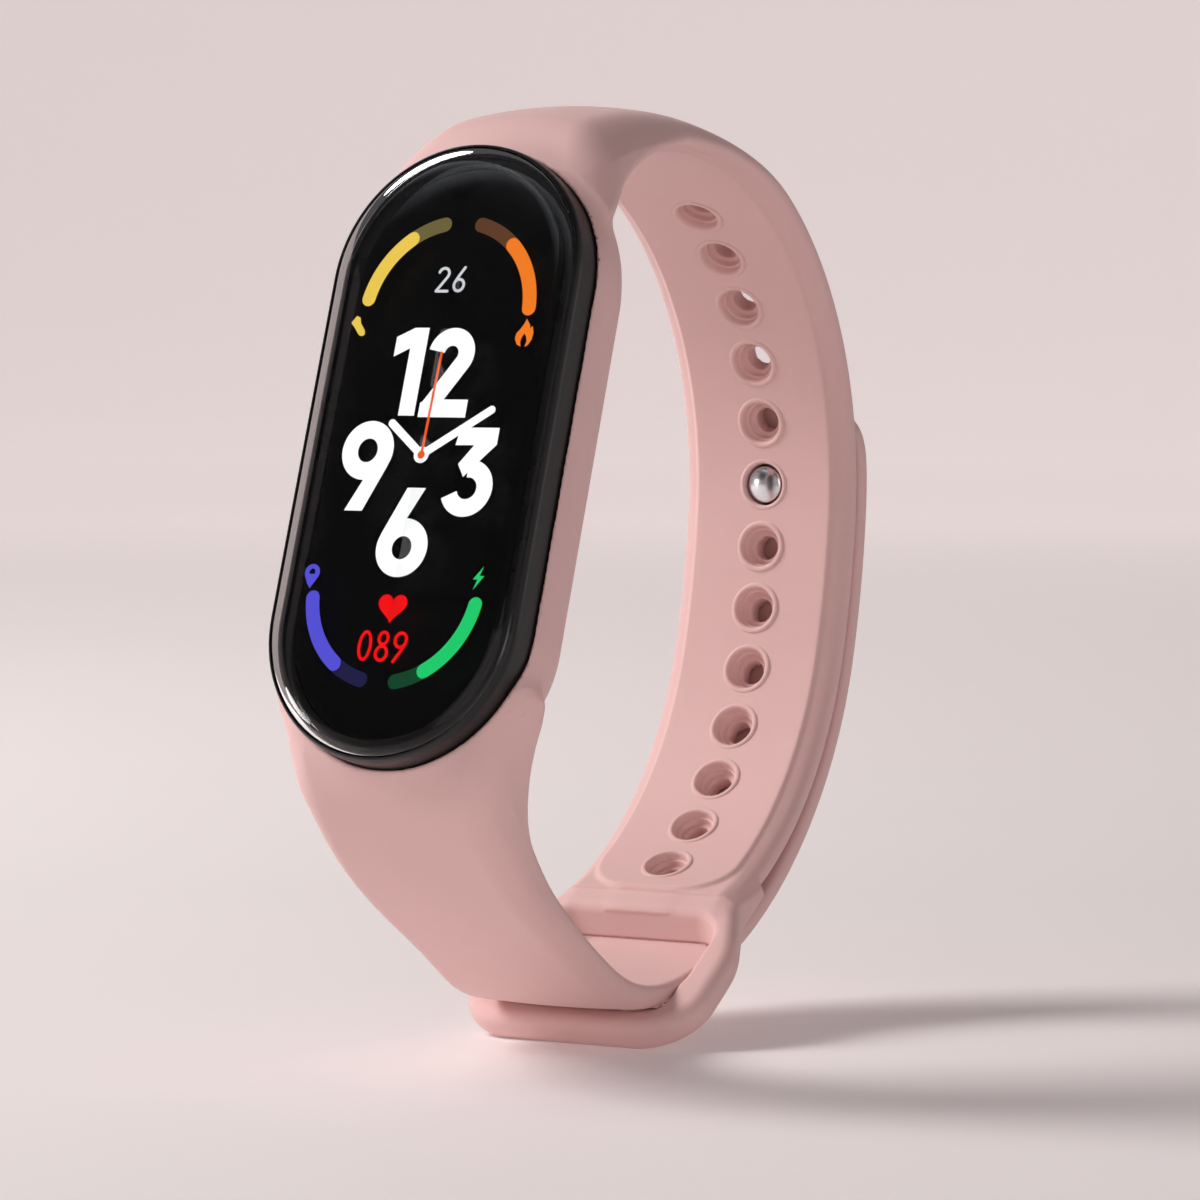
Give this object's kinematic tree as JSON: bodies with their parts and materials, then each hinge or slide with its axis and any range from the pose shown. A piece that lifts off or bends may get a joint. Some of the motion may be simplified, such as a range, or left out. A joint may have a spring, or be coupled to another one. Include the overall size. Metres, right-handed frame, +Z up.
{
  "type": "fitness tracker band",
  "caption": "Pill-shaped touch-screen tracker capsule in a soft strap with buckle loop, stepped holes and a stud; the capsule pops out and the strap's tail peels off.",
  "frame": {"origin": "centre of the wrist opening", "axes": "+X along the wrist; +Z up, towards the capsule's upper end; the screen faces -Y and leans back 19.29 degrees"},
  "size_m": [0.0226, 0.0642, 0.0707],
  "materials": {
    "strap_silicone": "soft matte",
    "stud_metal": "polished",
    "cover_glass": "polished, curved edge",
    "touch_film": "gloss",
    "display_black": "gloss",
    "black_foam": "matte foam",
    "case_black": "satin",
    "frame_metal": "satin",
    "circuit_green": "solder mask",
    "tin_plate": "tinned",
    "chip_black": "matte",
    "battery_foil": "crinkled foil",
    "white_adhesive": "matte",
    "shaft_steel": "ground",
    "circuit_amber": "polyimide film",
    "weight_brass": "satin",
    "led_green": "clear resin",
    "diode_dark": "gloss",
    "sensor_glass": "polished",
    "gasket_white": "matte",
    "contact_gold": "gold plated"
  },
  "bodies": {
    "strap": {"strap_cradle": "strap_silicone", "hole_strap": "strap_silicone", "buckle_loop": "strap_silicone", "lead_strap": "strap_silicone"},
    "capsule": {"glass_lens": "cover_glass", "touch_panel": "touch_film", "display_panel": "display_black", "display_foam": "black_foam", "front_case": "case_black", "inner_frame": "frame_metal", "main_board": "circuit_green", "shield_can": "tin_plate", "processor_chip": "chip_black", "memory_chip": "chip_black", "radio_chip": "chip_black", "battery": "battery_foil", "battery_pad": "white_adhesive", "motor_can": "tin_plate", "motor_shaft": "shaft_steel", "antenna_flex": "circuit_amber", "display_flex": "circuit_amber", "sensor_flex": "circuit_amber", "sensor_board": "circuit_green", "sensor_leds": "led_green", "photodiodes": "diode_dark", "light_baffle": "black_foam", "sensor_window": "sensor_glass", "rear_cover": "case_black", "seal_gasket": "gasket_white", "charge_contacts": "contact_gold", "contact_springs": "contact_gold"},
    "tail": {"tail_tip": "strap_silicone", "stud_pin": "stud_metal", "stud_cap": "stud_metal"},
    "motor_rotor": {"rotor_disc": "circuit_amber", "motor_weight": "weight_brass"}
  },
  "joints": [
    {"name": "capsule_popout", "type": "slide", "parent": "strap", "child": "capsule", "axis": [0, -0.9439, 0.3304], "range_m": [0, 0.014]},
    {"name": "clasp_peel", "type": "hinge", "parent": "strap", "child": "tail", "pos_m": [0, 0.03274, -0.01433], "axis": [-1, 0, 0], "range_deg": [0, 70]},
    {"name": "motor_spin", "type": "hinge", "parent": "capsule", "child": "motor_rotor", "pos_m": [0, -0.01003, 0.01982], "axis": [0, -0.9439, 0.3304], "continuous": true}
  ]
}
